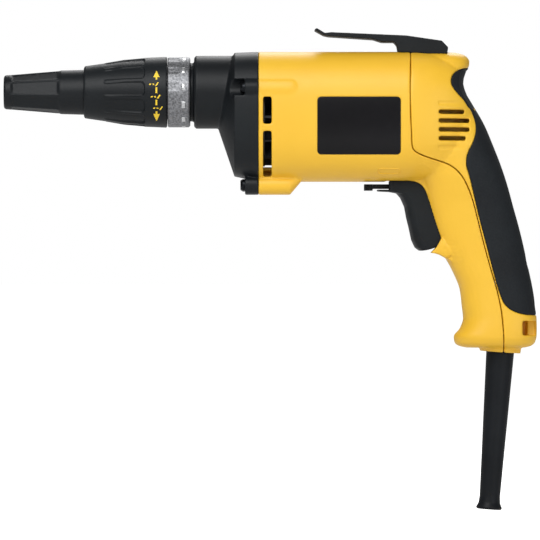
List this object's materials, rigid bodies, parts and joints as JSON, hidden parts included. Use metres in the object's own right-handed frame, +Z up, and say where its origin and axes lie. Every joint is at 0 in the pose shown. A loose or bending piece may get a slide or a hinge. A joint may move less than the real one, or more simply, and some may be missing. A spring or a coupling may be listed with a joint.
{
  "type": "drywall screwdriver",
  "caption": "Corded pistol-grip drywall screwdriver with a depth-setting nose collar, push-to-drive clutch, geared motor, trigger switch, reversing lever and belt hook.",
  "frame": {"origin": "centre of the bit socket's mouth, on the spindle axis", "axes": "+X back along the spindle towards the handle, +Y to the tool's right-hand side seen from its nose, +Z up towards the belt hook"},
  "size_m": [0.301, 0.0676, 0.2722],
  "materials": {
    "black_nylon": "moulded, fine texture",
    "cast_zinc": "as cast, grey",
    "yellow_nylon": "moulded, satin",
    "grip_rubber": "soft overmould, matte",
    "sleeve_rubber": "moulded, matte",
    "label_film": "printed film, satin",
    "zinc_steel": "zinc plated",
    "ground_steel": "ground",
    "magnet": "nickel plated",
    "bronze": "sintered",
    "copper": "turned copper",
    "copper_wire": "enamelled wire",
    "lamination_steel": "stamped stack",
    "cast_plate": "die cast",
    "inner_nylon": "moulded",
    "carbon": "pressed carbon"
  },
  "bodies": {
    "frame": {"detent_ring": "cast_zinc", "ring_circlip": "zinc_steel", "gear_case": "black_nylon", "motor_housing": "yellow_nylon", "handle_cover": "yellow_nylon", "grip_pad": "grip_rubber", "label_plate_left": "label_film", "label_plate_right": "label_film", "gear_case_screws": "zinc_steel", "handle_cover_screws": "zinc_steel", "belt_hook": "black_nylon", "hook_screws": "zinc_steel", "spindle_bush": "bronze", "spindle_seal": "sleeve_rubber", "clutch_spring": "zinc_steel", "thrust_washer": "zinc_steel", "gear_arbor": "ground_steel", "bearing_plate": "cast_plate", "front_bearing_outer": "ground_steel", "front_bearing_balls": "ground_steel", "rear_bearing_outer": "ground_steel", "rear_bearing_balls": "ground_steel", "field_core": "lamination_steel", "field_windings": "copper_wire", "rear_bearing_bracket": "inner_nylon", "brush_holders": "inner_nylon", "carbon_brushes": "carbon", "brush_springs": "zinc_steel", "trigger_spring": "zinc_steel", "switch_body": "inner_nylon", "lever_pin": "zinc_steel", "cord_sleeve": "sleeve_rubber", "cord_clamp": "inner_nylon", "cord_clamp_screws": "zinc_steel"},
    "collar": {"depth_collar": "black_nylon"},
    "nose": {"nose_cone": "black_nylon"},
    "spring_seat": {"spring_seat_washer": "zinc_steel"},
    "spindle": {"spindle": "ground_steel", "bit_holder": "ground_steel", "bit_magnet": "magnet", "bit_holder_ring": "zinc_steel"},
    "rotor": {"armature_shaft": "ground_steel", "armature_core": "lamination_steel", "armature_windings": "copper_wire", "commutator": "copper", "cooling_fan": "inner_nylon", "front_bearing_inner": "ground_steel", "rear_bearing_inner": "ground_steel"},
    "gear": {"drive_gear": "ground_steel", "gear_bush": "bronze"},
    "trigger": {"trigger": "black_nylon", "switch_plunger": "inner_nylon"},
    "lever": {"reversing_lever": "black_nylon"}
  },
  "joints": [
    {"name": "collar_turn", "type": "hinge", "parent": "frame", "child": "collar", "pos_m": [0.0495, 0, 0], "axis": [1, 0, 0], "range_deg": [-360, 360]},
    {"name": "nose_slide", "type": "slide", "parent": "frame", "child": "nose", "axis": [1, 0, 0], "range_m": [-0.004, 0.004]},
    {"name": "spindle_push", "type": "slide", "parent": "frame", "child": "spring_seat", "axis": [1, 0, 0], "range_m": [0, 0.003], "stiffness_N_per_m": 1500, "springref_m": -0.002, "deforming": ["clutch_spring"]},
    {"name": "spindle_spin", "type": "hinge", "parent": "spring_seat", "child": "spindle", "pos_m": [0.06, 0, 0], "axis": [1, 0, 0], "continuous": true},
    {"name": "rotor_spin", "type": "hinge", "parent": "frame", "child": "rotor", "pos_m": [0.16, 0, -0.0144], "axis": [1, 0, 0], "continuous": true},
    {"name": "gear_spin", "type": "hinge", "parent": "frame", "child": "gear", "pos_m": [0.108, 0, 0], "axis": [1, 0, 0], "continuous": true},
    {"name": "trigger_pull", "type": "slide", "parent": "frame", "child": "trigger", "axis": [1, 0, 0], "range_m": [0, 0.008], "stiffness_N_per_m": 500, "springref_m": -0.006, "deforming": ["trigger_spring"]},
    {"name": "lever_swing", "type": "hinge", "parent": "frame", "child": "lever", "pos_m": [0.2148, 0, -0.0533], "axis": [0, 0, 1], "range_deg": [-12, 12]}
  ],
  "couplings": [
    {"joint": "nose_slide", "follows": "collar_turn", "m_per_rad": -0.00063662},
    {"joint": "gear_spin", "follows": "rotor_spin", "ratio": -0.26316}
  ]
}
